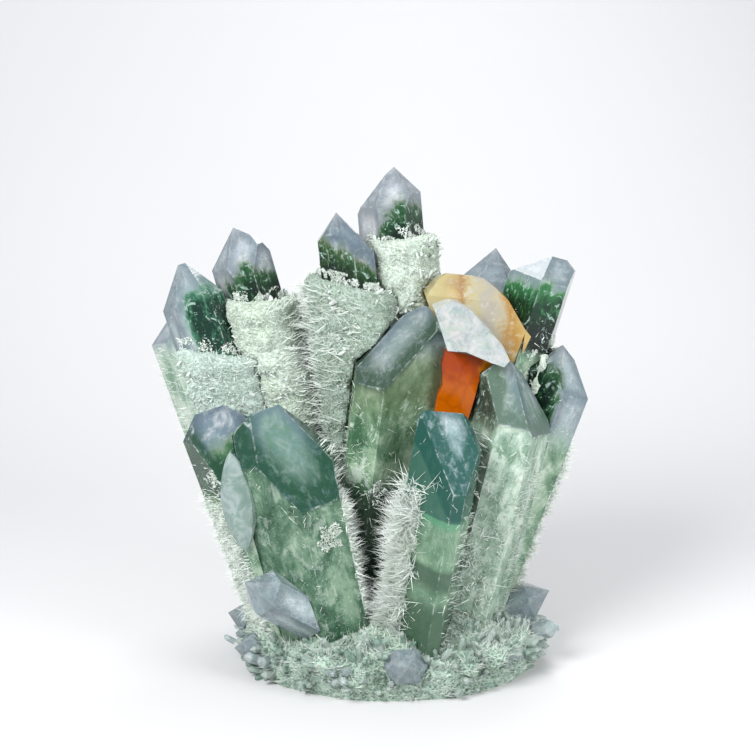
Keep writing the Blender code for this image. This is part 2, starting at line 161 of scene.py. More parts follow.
class Graph:
    """A material's nodes, with one short call for each kind that is used here."""

    def __init__(self, name):
        self.material = bpy.data.materials.new(name)
        self.material.use_nodes = True
        self.nodes = self.material.node_tree.nodes
        self.links = self.material.node_tree.links
        self.shader = self.nodes["Principled BSDF"]

    def plug(self, source, socket):
        if isinstance(source, bpy.types.NodeSocket):
            self.links.new(source, socket)
        else:
            socket.default_value = source

    def set(self, **values):
        """Values or links of the shader's own sockets, with underscores for spaces."""
        for name, value in values.items():
            self.plug(value, self.shader.inputs[name.replace("_", " ")])

    def add(self, kind, inputs, output=0, **settings):
        """A node's output, once its settings are made and its inputs are set or linked."""
        node = self.nodes.new("ShaderNode" + kind)
        for key, value in settings.items():
            setattr(node, key, value)
        for key, value in inputs.items():
            self.plug(value, node.inputs[key])
        return node.outputs[output]

    def object_place(self):
        """The place on the object, in millimetres."""
        coordinates = self.add("TexCoord", {}, "Object")
        return self.add("VectorMath", {0: coordinates, "Scale": 1 / MM}, operation="SCALE")

    def stem_place(self, stem):
        """The place in a crystal's own frame, in millimetres."""
        inputs = {"Vector": self.object_place(), "Location": stem.tip, "Rotation": stem.turn.to_euler()}
        return self.add("Mapping", inputs, vector_type="TEXTURE")

    def stretched(self, place, x, y, z):
        return self.add("VectorMath", {0: place, 1: (x, y, z)}, operation="MULTIPLY")

    def part(self, place, index):
        return self.add("SeparateXYZ", {0: place}, index)

    def depth(self, place):
        """Distance below the tip, along the axis."""
        return self.times(self.part(place, 2), -1.0)

    def math(self, operation, first, second=0.0):
        return self.add("Math", {0: first, 1: second}, operation=operation)

    def times(self, first, second):
        return self.math("MULTIPLY", first, second)

    def plus(self, first, second):
        return self.math("ADD", first, second)

    def minus(self, first, second):
        return self.math("SUBTRACT", first, second)

    def swing(self, value, width):
        """A noise moved so that it swings both ways round 0, over this width."""
        return self.times(self.minus(value, 0.5), width)

    def noise(self, place, scale, detail=4.0, roughness=0.55, distortion=0.0, along=None):
        """Noise, drawn out along z where 'along' is less than 1."""
        if along:
            place = self.stretched(place, 1, 1, along)
        inputs = {"Vector": place, "Scale": scale, "Detail": detail, "Roughness": roughness,
                  "Distortion": distortion}
        return self.add("TexNoise", inputs, "Fac")

    def cells(self, place, scale, feature="F1"):
        return self.add("TexVoronoi", {"Vector": place, "Scale": scale}, "Distance", feature=feature)

    def between(self, value, low, high, low_value=0.0, high_value=1.0):
        """Rises smoothly from low_value to high_value as the value goes from low to high."""
        inputs = {"Value": value, "From Min": low, "From Max": high, "To Min": low_value,
                  "To Max": high_value}
        return self.add("MapRange", inputs, "Result", interpolation_type="SMOOTHSTEP")

    def ramp(self, value, stops):
        node = self.nodes.new("ShaderNodeValToRGB")
        self.plug(value, node.inputs["Fac"])
        elements = node.color_ramp.elements
        while len(elements) > 1:
            elements.remove(elements[-1])
        elements[0].position, elements[0].color = stops[0][0], srgb(*stops[0][1])
        for position, colour in stops[1:]:
            elements.new(position).color = srgb(*colour)
        return node.outputs["Color"]

    def mix(self, share, first, second, blend="MIX"):
        inputs = {"Factor": share, 6: shader_colour(first), 7: shader_colour(second)}
        return self.add("Mix", inputs, 2, data_type="RGBA", blend_type=blend)

    def attribute(self, name):
        return self.add("Attribute", {}, "Fac", attribute_name=name)

    def bump(self, height, strength, distance):
        inputs = {"Height": height, "Strength": strength, "Distance": distance * MM}
        return self.add("Bump", inputs, "Normal")


def link(thing):
    bpy.context.scene.collection.objects.link(thing)
    return thing


def piece_of(name, mesh, material, nodes=()):
    """An object in the scene that rides on the part, and stands for nodes if any are named."""
    thing = link(bpy.data.objects.new(name, mesh))
    mesh.materials.clear()
    mesh.materials.append(material)
    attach(thing, "root")
    if nodes:
        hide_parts(*nodes)


def node_shape(name):
    """A copy of a node's mesh to work on, in millimetres, with its flat faces whole again."""
    shape = bmesh.new()
    shape.from_mesh(NODES[name].data)
    bmesh.ops.transform(shape, matrix=Matrix.Scale(1 / MM, 4), verts=shape.verts)
    bmesh.ops.remove_doubles(shape, verts=shape.verts, dist=0.02)
    bmesh.ops.dissolve_limit(shape, angle_limit=math.radians(1.5), verts=shape.verts, edges=shape.edges)
    return shape


def plain_mesh(name, shape):
    mesh = bpy.data.meshes.new(name)
    shape.to_mesh(mesh)
    shape.free()
    return mesh


def mesh_of(name, shape):
    """The finished mesh, in metres."""
    bmesh.ops.transform(shape, matrix=Matrix.Scale(MM, 4), verts=shape.verts)
    return plain_mesh(name, shape)


def keep_values(mesh, values):
    """Keeps values at a mesh's corners, where its material reads them."""
    for key, array in values.items():
        attribute = mesh.attributes.new(key, "FLOAT", "POINT")
        attribute.data.foreach_set("value", array.astype(np.float32))


def mesh_of_arrays(name, corners, triangles, values):
    """A mesh of triangles in millimetres, with values kept at its corners."""
    mesh = bpy.data.meshes.new(name)
    mesh.vertices.add(len(corners))
    mesh.vertices.foreach_set("co", (corners * MM).astype(np.float32).ravel())
    mesh.loops.add(triangles.size)
    mesh.loops.foreach_set("vertex_index", triangles.astype(np.int32).ravel())
    mesh.polygons.add(len(triangles))
    mesh.polygons.foreach_set("loop_start", np.arange(0, triangles.size, 3, dtype=np.int32))
    keep_values(mesh, values)
    mesh.update(calc_edges=True)
    mesh.shade_flat()
    return mesh


def modified(mesh, *settings):
    """The mesh after modifiers, each given as its kind and its values."""
    thing = link(bpy.data.objects.new("worked on", mesh))
    for kind, values in settings:
        modifier = thing.modifiers.new(kind, kind)
        for key, value in values.items():
            setattr(modifier, key, value)
    graph = bpy.context.evaluated_depsgraph_get()
    result = bpy.data.meshes.new_from_object(thing.evaluated_get(graph))
    bpy.data.objects.remove(thing)
    return result


def places_and_normals(mesh):
    """The places and normals of a mesh's corners, as arrays of their own."""
    places = np.empty(len(mesh.vertices) * 3)
    mesh.vertices.foreach_get("co", places)
    normals = np.empty(len(mesh.vertices) * 3)
    mesh.vertex_normals.foreach_get("vector", normals)
    return places.reshape(-1, 3), normals.reshape(-1, 3)


# Crystals

def crystal_planes(name, axis):
    """The planes of a crystal's own faces: those of its tip and those of its sides. Faces that only follow a
    neighbour aren't among them."""
    shape = node_shape(name)
    corners = np.array([vertex.co for vertex in shape.verts])
    tips, sides = [], []
    for face in shape.faces:
        face.normal_update()
        middle = face.calc_center_median()
        beyond = (corners - np.array(middle)) @ np.array(face.normal)
        if face.calc_area() < SMALLEST_FACE or beyond.max() > PAST_FACE:
            continue
        rise = face.normal.dot(axis)
        if rise > TIP_RISE:
            tips.append((middle, face.normal.copy()))
        elif rise > -TIP_RISE:
            sides.append((middle, face.normal.copy()))
    shape.free()
    return tips, sides


def depth_inside(points, planes):
    """How far points are behind the nearest of some planes."""
    depths = np.full(len(points), 1e3)
    for middle, normal in planes:
        depths = np.minimum(depths, (np.array(middle) - points) @ np.array(normal))
    return depths


PLANES = {name: crystal_planes(name, stem.axis) for name, stem in STEMS.items()}


def divided(shape, longest, rounds=6):
    """Divides long edges until none is longer than this."""
    for _ in range(rounds):
        edges = [edge for edge in shape.edges if edge.calc_length() > longest]
        if not edges:
            return
        bmesh.ops.subdivide_edges(shape, edges=edges, cuts=1)
        bmesh.ops.triangulate(shape, faces=[face for face in shape.faces if len(face.verts) > 3])


def bevelled(shape, shortest):
    """Bevels every sharp edge that is longer than this, and cuts the faces into triangles."""
    edges = [edge for edge in shape.edges
             if edge.is_manifold and edge.calc_face_angle(0) > BEVEL_ANGLE and edge.calc_length() > shortest]
    bmesh.ops.bevel(shape, geom=edges, offset=BEVEL, offset_type="OFFSET", segments=2, profile=0.6,
                    affect="EDGES", clamp_overlap=True)
    bmesh.ops.triangulate(shape, faces=shape.faces[:])


def shell_mesh(stem):
    """The node's shape with small bevels on its edges. 'window' is 1 on the tip's faces, 'rim' is the
    distance down from the tip's lower edge, less than 0 on the tip, and 'ridge' the distance from the
    nearest edge."""
    shape = node_shape(stem.name)
    bevelled(shape, 1.2)
    divided(shape, LONGEST_EDGE)
    shape.normal_update()
    places = np.array([vertex.co for vertex in shape.verts])
    facing = np.array([vertex.normal.dot(stem.axis) for vertex in shape.verts])
    tips, sides = PLANES[stem.name]
    rim = np.maximum(depth_inside(places, tips), 0) - np.maximum(depth_inside(places, sides), 0)
    depths = np.sort([depth_inside(places, [plane]) for plane in tips + sides], axis=0)
    mesh = mesh_of(stem.name, shape)
    keep_values(mesh, {"rim": rim, "window": np.clip((facing - 0.15) / 0.2, 0, 1), "ridge": depths[1]})
    return mesh


class Look:
    """How one crystal looks, in millimetres from its tip, with x to the right of its axis.

    clear: where it turns from clear to milky. cap: how see-through the clear part is.
    tip, cap_colour: the clear part's colours where it is very see-through and where it isn't.
    body_colours: the milky part's dark, middle and pale colours.
    strokes: green brush strokes seen in the clear part: where they fade in and are full, where they end and
    have ended, how much lower they get to the right, how much lower away from the middle, and that middle.
    sides: the strokes' left and right limits, as where they start, are full, start to end and have ended.
    black: where the strokes start to turn almost black, and where they are.
    band: the dark band along the tip's lower edge, measured down from that edge.
    core, dark: where the green body inside starts and where its dark part ends.
    patches, pits: how strongly white patches and dark pits show on the milky part.
    mist: how strongly white mist shows in the clear part.
    zones: soft bands of colour round the milky part: where each fades in, is full, starts to end and has
    ended, then its colour and its strength.
    brush: the slivers inside: where they start and end, how many, and how far they reach left and right.
    flecks: how many small needles lie on the bare sides."""

    clear = (10, 20)
    cap = 0.5
    tip = (188, 206, 211)
    cap_colour = (150, 165, 165)
    body_colours = ((70, 110, 84), (124, 156, 130), (184, 203, 182))
    strokes = None
    stroke_colours = ((92, 112, 84), (34, 72, 44), (12, 30, 20))
    sides = None
    black = None
    band = None
    band_colour = (30, 62, 50)
    core = None
    dark = 20
    patches = 0.6
    pits = 0.5
    mist = 0.6
    zones = ()
    brush = None
    flecks = 420

    def __init__(self, **values):
        vars(self).update(values)


SMALL = Look(clear=(40, 60), cap=0.6, tip=(204, 222, 221), mist=0.7, flecks=12)
EMERALD = ((108, 142, 124), (52, 98, 76), (16, 44, 34))
OLIVE = ((112, 124, 90), (40, 72, 40), (12, 28, 18))

LOOKS = {name: SMALL for name in STEMS if name.startswith("small")}
LOOKS.update({
    "crystal_top": Look(
        clear=(24, 28), core=20, dark=24, brush=(9, 19, 900, -7, 7), flecks=0,
        strokes=(8, 18, 40, 50, 0.0, 0.25, 2), sides=(-8, -3, 7, 10), tip=(228, 231, 237), black=(17, 21)),
    "crystal_upper": Look(
        clear=(24, 28), core=20, dark=26, brush=(9, 20, 900, -9, 9), stroke_colours=OLIVE, flecks=0,
        tip=(144, 162, 177), strokes=(9.0, 16, 40, 50, 0.75, 0.0, 0), black=(17, 23), mist=0.75),
    "crystal_back_left": Look(
        clear=(24, 28), core=20, dark=26, brush=(8, 20, 900, -8, 8), flecks=0, tip=(206, 215, 223),
        strokes=(9, 17, 40, 50, 0.0, 0.7, 0.5)),
    "crystal_left": Look(
        clear=(24, 34), core=16, dark=28, brush=(8, 24, 900, -4, 9), stroke_colours=EMERALD,
        strokes=(6, 11, 24, 32, 0.0, 0.35, 4), sides=(-4, 1, 12, 14)),
    "crystal_far_left": Look(
        clear=(3, 16), core=10, dark=10, cap=0.4, brush=(8, 20, 100, -9, 9), tip=(186, 198, 208),
        body_colours=((110, 144, 122), (160, 184, 166), (206, 218, 206))),
    "crystal_right_back": Look(
        clear=(22, 32), core=26, dark=34, brush=(16, 26, 200, -9, 9), strokes=(16, 26, 40, 50, 0.0, 0.0, 0),
        tip=(198, 210, 216)),
    "crystal_far_right": Look(
        clear=(20, 28), core=18, dark=26, brush=(6, 19, 1200, -11, 11),
        stroke_colours=((108, 146, 112), (40, 96, 56), (14, 44, 28)), strokes=(7, 13, 21, 30, -0.1, 0.0, 2),
        black=(13, 19)),
    "crystal_right": Look(
        clear=(18, 30), core=14, dark=24, brush=(7, 20, 900, -9, 3), strokes=(5, 11, 20, 28, 0.0, 0.0, 0),
        sides=(-12, -8, 0, 4)),
    "crystal_front_right": Look(
        clear=(1, 6), core=6, dark=20, cap=0.35, band=(-7, -2, -0.4, 0.9), band_colour=(76, 96, 84),
        cap_colour=(104, 132, 118), tip=(156, 176, 170), brush=(5, 16, 200, -9, 9),
        body_colours=((92, 126, 100), (148, 174, 156), (204, 218, 204)), strokes=(1, 7, 12, 22, 0.0, 0.0, 0),
        sides=(-20, -14, -4, 1), flecks=420, stroke_colours=((112, 124, 108), (78, 92, 78), (44, 58, 50))),
    "crystal_front": Look(
        clear=(0, 3), core=4, dark=26, cap=0.3, band=(-7, -3, 4.3, 5.2), band_colour=(24, 70, 62),
        cap_colour=(112, 146, 146), brush=(3, 14, 200, -9, 9),
        body_colours=((84, 118, 92), (110, 142, 118), (140, 166, 140)), patches=0.2, pits=0.15, flecks=200,
        zones=((0, 1, 26.3, 27.0, (40, 90, 78), 0.88), (26.3, 26.8, 27.4, 29.5, (76, 144, 108), 0.65),
               (39, 41, 44, 49, (58, 84, 66), 0.85), (47, 53, 80, 90, (58, 86, 66), 0.88))),
    "crystal_front_left": Look(
        clear=(0, 4), core=4, dark=24, cap=0.22, band=(-9, -2.5, -0.3, 0.7), band_colour=(20, 58, 40),
        cap_colour=(60, 94, 80), tip=(124, 156, 144), brush=(6, 24, 300, -12, 12), mist=0.15,
        body_colours=((34, 74, 50), (76, 112, 88), (128, 156, 132)), patches=0.28, pits=0.9, flecks=420),
    "crystal_front_far_left": Look(
        clear=(2, 8), core=9, dark=22, cap=0.5, band=(-5, -1, 4, 7), band_colour=(26, 58, 42),
        cap_colour=(104, 126, 136), tip=(120, 142, 154), brush=(8, 18, 600, -9, 9),
        strokes=(8, 13, 20, 25, 0.0, 0.0, 0), stroke_colours=((116, 138, 98), (54, 92, 62), (26, 58, 42))),
    # The centre crystal's second zone, near-black green from 44 mm down its body, is painted shadow in the
    # gap between its neighbours.
    "crystal_centre": Look(
        clear=(3, 16), core=4, dark=44, cap=0.42, band=(-7, -1.5, -0.3, 2.0), band_colour=(44, 64, 48),
        cap_colour=(84, 104, 98), tip=(152, 170, 168), brush=(7, 30, 900, -12, 12),
        body_colours=((52, 92, 62), (106, 140, 110), (166, 190, 162)), patches=0.7, flecks=420,
        zones=((8, 14, 22, 36, (92, 104, 70), 0.55), (44, 54, 200, 210, (26, 48, 34), 0.9)), mist=0.35),
    "crystal_inner": Look(
        clear=(4, 10), core=5, dark=16, brush=(4, 12, 200, -6, 6), flecks=0),
    "crystal_back_middle": Look(
        clear=(16, 24), core=18, dark=22, brush=(7, 17, 600, -8, 8), flecks=0,
        strokes=(7, 14, 24, 30, 0.0, 0.3, 0)),
    "crystal_back_right": Look(
        clear=(18, 26), core=18, dark=24, brush=(7, 18, 600, -8, 8), strokes=(7, 14, 22, 30, 0.0, 0.3, 0)),
    "crystal_back_far_left": Look(
        clear=(14, 22), core=16, dark=22, brush=(6, 16, 600, -8, 8), strokes=(6, 12, 20, 28, 0.0, 0.3, 0),
        stroke_colours=EMERALD),
})


def stroke_strength(graph, place, depth, look):
    """Feathery strokes along the axis, and how strongly they show."""
    start, full, ending, ended, slant, bow, middle = look.strokes
    right = graph.part(place, 0)
    aside = graph.math("ABSOLUTE", graph.minus(right, middle))
    patches = graph.noise(place, 0.2, 3, 0.6, along=0.5)
    fibres = graph.noise(place, 1.9, 6, 0.75, 0.2, along=0.12)
    level = graph.minus(depth, graph.times(right, slant))
    level = graph.minus(level, graph.times(aside, bow))
    level = graph.plus(level, graph.swing(patches, 13.0))
    level = graph.plus(level, graph.swing(fibres, 3.5))
    moss = graph.noise(place, 0.6, 7, 0.72, 0.8, along=0.5)
    strength = graph.times(graph.between(level, start - 4.0, full + 2.0),
                           graph.between(moss, 0.33, 0.52, 0.35, 1.0))
    strength = graph.times(strength, graph.between(depth, ending, ended, 1.0, 0.0))
    if look.sides:
        wave = graph.plus(right, graph.swing(patches, 8.0))
        strength = graph.times(strength, graph.between(wave, look.sides[0], look.sides[1]))
        strength = graph.times(strength, graph.between(wave, look.sides[2], look.sides[3], 1.0, 0.0))
    return strength


def milky_colour(graph, place, depth, wander, rough_noise, look):
    """The milky body: streaks and blotches, white patches, dark pits and the look's own zones."""
    streaks = graph.noise(place, 0.5, 6, 0.65, 0.3, along=0.15)
    blotches = graph.noise(place, 0.15, 10, 0.68, 0.35, along=0.7)
    value = graph.plus(graph.times(streaks, 0.2), graph.times(blotches, 0.8))
    low, middle, high = look.body_colours
    colour = graph.ramp(value, [(0.38, low), (0.49, middle), (0.6, high)])
    specks = graph.between(graph.noise(place, 1.6, 3, 0.7), 0.6, 0.74)
    colour = graph.mix(graph.times(specks, 0.6), colour, (226, 236, 226))
    patches = graph.times(graph.between(rough_noise, 0.55, 0.61), look.patches)
    colour = graph.mix(patches, colour, (206, 220, 208))
    pits = graph.times(graph.between(rough_noise, 0.4, 0.34), look.pits)
    colour = graph.mix(pits, colour, (34, 66, 46))
    for start, full, ending, ended, zone_colour, strength in look.zones:
        level = graph.plus(depth, graph.times(wander, 0.15))
        zone = graph.times(graph.between(level, start, full),
                           graph.between(level, ending, ended, strength, 0.0))
        colour = graph.mix(zone, colour, zone_colour)
    return colour


def clear_colour(graph, place, look):
    """The clear part: the look's own colours, with white mist in them."""
    mist = graph.between(graph.noise(place, 0.2, 8, 0.7, 0.5, along=0.5), 0.44, 0.62)
    dull = graph.mix(graph.times(mist, look.mist * 0.7), look.cap_colour, (214, 222, 224))
    bright = graph.mix(graph.times(mist, look.mist), look.tip, (242, 244, 247))
    return graph.mix(min(1.0, look.cap / 0.6), dull, bright)


def stroke_layer(graph, place, depth, look, colour, transmission):
    """The green strokes, with pale chips in them, over the colour and the transmission so far."""
    strength = stroke_strength(graph, place, depth, look)
    pale, green, deep = look.stroke_colours
    strokes = graph.ramp(strength, [(0.15, pale), (0.5, green), (0.92, deep)])
    chips = graph.between(graph.noise(place, 0.32, 7, 0.7, 1.4), 0.57, 0.63)
    if look.black:
        slanted = graph.minus(depth, graph.times(graph.part(place, 0), look.strokes[4]))
        jagged = graph.plus(slanted, graph.swing(chips, 2.5))
        strokes = graph.mix(graph.between(jagged, *look.black), strokes, (12, 24, 18))
    strokes = graph.mix(graph.times(chips, 0.6), strokes, (168, 194, 186))
    colour = graph.mix(graph.between(strength, 0.0, 0.45), colour, strokes)
    return colour, graph.times(transmission, graph.between(strength, 0.0, 0.6, 1.0, 0.25))


def band_layer(graph, place, rim, look, colour, transmission):
    """The dark band along the tip's lower edge, over the colour and the transmission so far."""
    start, full, ending, ended = look.band
    moss = graph.noise(place, 0.5, 8, 0.7, 0.6, along=0.4)
    strength = graph.between(graph.plus(rim, graph.swing(moss, 3.0)), start, full)
    strength = graph.times(strength, graph.minus(1.0, graph.between(rim, ending, ended)))
    strength = graph.times(strength, graph.between(moss, 0.3, 0.52, 0.45, 0.95))
    colour = graph.mix(strength, colour, look.band_colour)
    return colour, graph.times(transmission, graph.between(strength, 0.0, 1.0, 1.0, 0.3))


def shell_material(stem, look):
    """Clear quartz at the tip that turns to frosted, milky green down the body."""
    graph = Graph("shell_" + stem.name)
    place = graph.stem_place(stem)
    depth = graph.depth(place)
    rim, window, ridge = (graph.attribute(name) for name in ("rim", "window", "ridge"))
    wander = graph.swing(graph.noise(place, 0.12, 5, 0.6, 0.6, along=0.5), 12.0)
    rough_noise = graph.noise(place, 0.2, 9, 0.72, 0.5, along=0.7)
    milky = graph.between(graph.plus(depth, wander), look.clear[0], look.clear[1])
    clear_share = graph.math("MAXIMUM", graph.minus(1.0, milky), window)
    body = milky_colour(graph, place, depth, wander, rough_noise, look)
    colour = graph.mix(clear_share, body, clear_colour(graph, place, look))
    transmission = graph.between(clear_share, 0.0, 1.0, MILKY_TRANSMISSION, look.cap)
    veil = graph.math("ABSOLUTE", graph.minus(rough_noise, 0.5))
    veil = graph.times(graph.between(veil, 0.0, 0.022, 0.55, 0.0), clear_share)
    colour = graph.mix(veil, colour, (112, 134, 142))
    # Painted shade: the clear part turns darker grey-blue within 3 mm of its edges, where the quartz shows
    # darker surroundings.
    edge = graph.times(graph.between(ridge, 0.4, 3.0, 0.62, 0.0), clear_share)
    colour = graph.mix(edge, colour, (84, 103, 116))
    if look.strokes:
        colour, transmission = stroke_layer(graph, place, depth, look, colour, transmission)
    if look.band:
        colour, transmission = band_layer(graph, place, rim, look, colour, transmission)
    # Painted highlight: a pale line on the bevelled edges, shown in patches.
    highlight_patches = graph.between(graph.noise(place, 0.35, 4, 0.7), 0.45, 0.65, 0.0, 0.38)
    painted_edge_highlight = graph.times(graph.between(ridge, 0.0, 0.3, 1.0, 0.0), highlight_patches)
    colour = graph.mix(painted_edge_highlight, colour, (222, 232, 230))
    fine = graph.noise(place, 2.4, 4, 0.6)
    lines = graph.noise(graph.stretched(place, 0.05, 0.05, 1.6), 1.0, 3, 0.6)
    height = graph.plus(graph.times(lines, 0.5),
                        graph.times(fine, graph.between(clear_share, 0.0, 1.0, 1.0, 0.1)))
    roughness = graph.between(clear_share, 0.0, 1.0, MILKY_ROUGHNESS, CLEAR_ROUGHNESS)
    graph.set(Base_Color=colour, Roughness=roughness, IOR=QUARTZ_IOR, Transmission_Weight=transmission,
              Specular_IOR_Level=0.3, Normal=graph.bump(height, 0.3, 0.35))
    return graph.material


def core_mesh(stem, look):
    """The inside of a crystal, from where it turns green: a rounded, slightly smaller body."""
    shape = node_shape(stem.name)
    everything = shape.verts[:] + shape.edges[:] + shape.faces[:]
    top = stem.tip - stem.axis * look.core
    bmesh.ops.bisect_plane(shape, geom=everything, plane_co=top, plane_no=stem.axis, clear_outer=True,
                           dist=1e-4)
    rim = [edge for edge in shape.edges if edge.is_boundary]
    bmesh.ops.contextual_create(shape, geom=rim)
    bmesh.ops.triangulate(shape, faces=shape.faces[:])
    mesh = plain_mesh("core", shape)
    mesh = modified(mesh, ("REMESH", {"mode": "VOXEL", "voxel_size": CORE_VOXEL, "adaptivity": 0.0}))
    places, normals = places_and_normals(mesh)
    top_face = normals @ stem.up > 0.6
    near_top = (places - np.array(top)) @ stem.up > -1.0
    places -= normals * CORE_INSET
    for index in range(len(places)):
        spot = Vector(places[index])
        places[index] += np.array(noise.noise_vector(spot * 0.35)) * 0.4
        if top_face[index] and near_top[index]:
            places[index] += stem.up * (noise.noise(spot * 0.45) * 3.0 - 1.5)
    mesh.vertices.foreach_set("co", places.ravel())
    mesh = modified(mesh, ("SMOOTH", {"factor": 0.5, "iterations": 3}))
    mesh.transform(Matrix.Scale(MM, 4))
    return mesh


def core_material(stem, look):
    graph = Graph("core_" + stem.name)
    place = graph.stem_place(stem)
    wander = graph.swing(graph.noise(place, 0.15, 4, 0.6), 8.0)
    depth = graph.plus(graph.depth(place), wander)
    moss = graph.noise(place, 0.55, 8, 0.72, 0.5, along=0.4)
    dark = graph.minus(1.0, graph.between(depth, look.dark - 3, look.dark + 5))
    base = (96, 132, 100)
    pale = graph.mix(graph.between(moss, 0.4, 0.7), base, (160, 180, 150))
    deep = graph.mix(graph.between(moss, 0.42, 0.7), (24, 62, 38), base)
    graph.set(Base_Color=graph.mix(dark, pale, deep), Roughness=0.7)
    return graph.material


# Needles and blades

def surface_samples(mesh, count, seed, keep=None):
    """Points spread over a mesh's triangles, with their normals, all in millimetres."""
    mesh.calc_loop_triangles()
    triangles = np.empty(len(mesh.loop_triangles) * 3, np.int32)
    mesh.loop_triangles.foreach_get("vertices", triangles)
    triangles = triangles.reshape(-1, 3)
    places = places_and_normals(mesh)[0] / MM
    a, b, c = places[triangles[:, 0]], places[triangles[:, 1]], places[triangles[:, 2]]
    cross = np.cross(b - a, c - a)
    size = np.linalg.norm(cross, axis=1)
    normals = cross / np.maximum(size, 1e-12)[:, None]
    weight = size.copy()
    if keep is not None:
        weight *= keep((a + b + c) / 3, normals)
    chance = np.random.default_rng(seed)
    picked = chance.choice(len(triangles), count, p=weight / weight.sum())
    first, second = chance.random(count), chance.random(count)
    over = first + second > 1
    first[over], second[over] = 1 - first[over], 1 - second[over]
    points = a[picked] + (b - a)[picked] * first[:, None] + (c - a)[picked] * second[:, None]
    return points, normals[picked], chance


def tree_of(node):
    """A search tree of one node of the part, in millimetres."""
    mesh = NODES[node].data
    return BVHTree.FromPolygons([vertex.co / MM for vertex in mesh.vertices],
                                [tuple(face.vertices) for face in mesh.polygons])


def all_nodes_tree():
    """A search tree of every node of the part, in millimetres."""
    corners, faces = [], []
    for node in NODES.values():
        start = len(corners)
        corners.extend(vertex.co / MM for vertex in node.data.vertices)
        faces.extend([start + index for index in face.vertices] for face in node.data.polygons)
    return BVHTree.FromPolygons(corners, faces)


NODE_TREE = all_nodes_tree()


def uncovered(points, normals, room):
    """Which points have nothing of the part close in front of them."""
    free = np.ones(len(points), bool)
    for index in range(len(points)):
        point, normal = Vector(points[index]), Vector(normals[index])
        if NODE_TREE.ray_cast(point + normal * 0.25, normal, room)[0] is not None:
            free[index] = False
    return free


def open_samples(mesh, count, seed, room, keep=None):
    """Points spread over a mesh, less those that a neighbour covers within this room."""
    points, normals, chance = surface_samples(mesh, count, seed, keep)
    free = uncovered(points, normals, room)
    return points[free], normals[free], chance


def patchy(points, scale):
    """Smooth noise at some points."""
    return np.array([noise.noise(Vector(point) * scale) for point in points])


def spikes(name, points, directions, lengths, widths, chance, sink=0.3):
    """One mesh of three-sided spikes. 'reach' runs from 0 at a spike's foot to 1 at its tip, and 'tone' is
    its own random number."""
    count = len(points)
    directions = directions / np.linalg.norm(directions, axis=1)[:, None]
    helper = chance.normal(size=(count, 3))
    side = np.cross(directions, helper)
    side /= np.linalg.norm(side, axis=1)[:, None]
    other = np.cross(directions, side)
    corners = np.empty((count, 4, 3))
    for index in range(3):
        angle = 2 * math.pi * index / 3
        around = side * math.cos(angle) + other * math.sin(angle)
        corners[:, index] = points - directions * sink + around * widths[:, None]
    corners[:, 3] = points + directions * lengths[:, None]
    first = np.arange(count)[:, None] * 4
    pattern = np.array([[0, 1, 3], [1, 2, 3], [2, 0, 3]])
    triangles = (first[:, None, :] + pattern[None, :, :]).reshape(-1, 3)
    reach = np.tile([0.0, 0.0, 0.0, 1.0], count)
    tone = np.repeat(chance.random(count), 4)
    return mesh_of_arrays(name, corners.reshape(-1, 3), triangles, {"reach": reach, "tone": tone})


def tinted(graph, colour, painted_shade):
    """The druse's colour with a faint green tint here and there, multiplied by a coat's painted shade."""
    tint = graph.between(graph.noise(graph.object_place(), 0.09, 4, 0.6), 0.4, 0.62)
    colour = graph.mix(graph.times(tint, 0.4), colour, (222, 229, 217), "MULTIPLY")
    return graph.mix(1.0, colour, painted_shade, "MULTIPLY")


def needle_material(name, root, middle, tip, see_through=0.15, painted_shade=(255, 255, 255)):
    graph = Graph(name)
    reach = graph.attribute("reach")
    # Darker and greener at a needle's foot, paler to its tip: painted shade deep in the coat, over the
    # needles' own pale green-white.
    colour = graph.ramp(reach, [(0.0, root), (0.35, middle), (0.8, tip)])
    tone = graph.attribute("tone")
    colour = graph.mix(graph.times(tone, 0.3), colour, root)
    colour = tinted(graph, colour, painted_shade)
    graph.set(Base_Color=colour, Roughness=0.25, IOR=QUARTZ_IOR, Transmission_Weight=see_through)
    return graph.material


def bed_material(name, low, high, painted_shade=(255, 255, 255)):
    """The fine sugar of points under the needles."""
    graph = Graph(name)
    place = graph.object_place()
    grain = graph.cells(place, 1.1)
    fine = graph.noise(place, 1.8, 6, 0.7)
    value = graph.plus(graph.times(grain, 0.5), graph.times(fine, 0.6))
    colour = graph.ramp(value, [(0.3, low), (0.65, high)])
    colour = tinted(graph, colour, painted_shade)
    graph.set(Base_Color=colour, Roughness=0.4, Normal=graph.bump(value, 0.9, 0.7))
    return graph.material


def coat_bed(name):
    """A druse coat's bed: the node with its coarse spines worn down, and small lumps instead."""
    shape = node_shape(name)
    bmesh.ops.triangulate(shape, faces=shape.faces[:])
    mesh = modified(plain_mesh(name, shape),
                    ("REMESH", {"mode": "VOXEL", "voxel_size": BED_VOXEL, "adaptivity": 0.0}),
                    ("SMOOTH", {"factor": 0.5, "iterations": 10}))
    places, normals = places_and_normals(mesh)
    lumps = patchy(places, 0.28) * 0.55 + patchy(places, 0.9) * 0.3
    places += normals * (0.25 + lumps)[:, None]
    mesh.vertices.foreach_set("co", places.ravel())
    mesh.transform(Matrix.Scale(MM, 4))
    return mesh


class Druse:
    """A coat: how many fine needles there are to a square millimetre, how long and wide they are, and how
    much they lean up the stem. A coat with a side is needles alone, on the faces to that side, and it
    thickens from 'start' down, below the tip. The painted shade is what the coat's colours are multiplied
    by: a slight darkening on every coat, and more on coats that lie in shadow, most on the upper stem's."""

    needles = 0.3
    length = (0.7, 3.0)
    width = 0.13
    up = 0.2
    side = None
    painted_shade = (222, 226, 221)
    start = 0

    def __init__(self, node, stem, **values):
        self.node = node
        self.stem = stem
        vars(self).update(values)


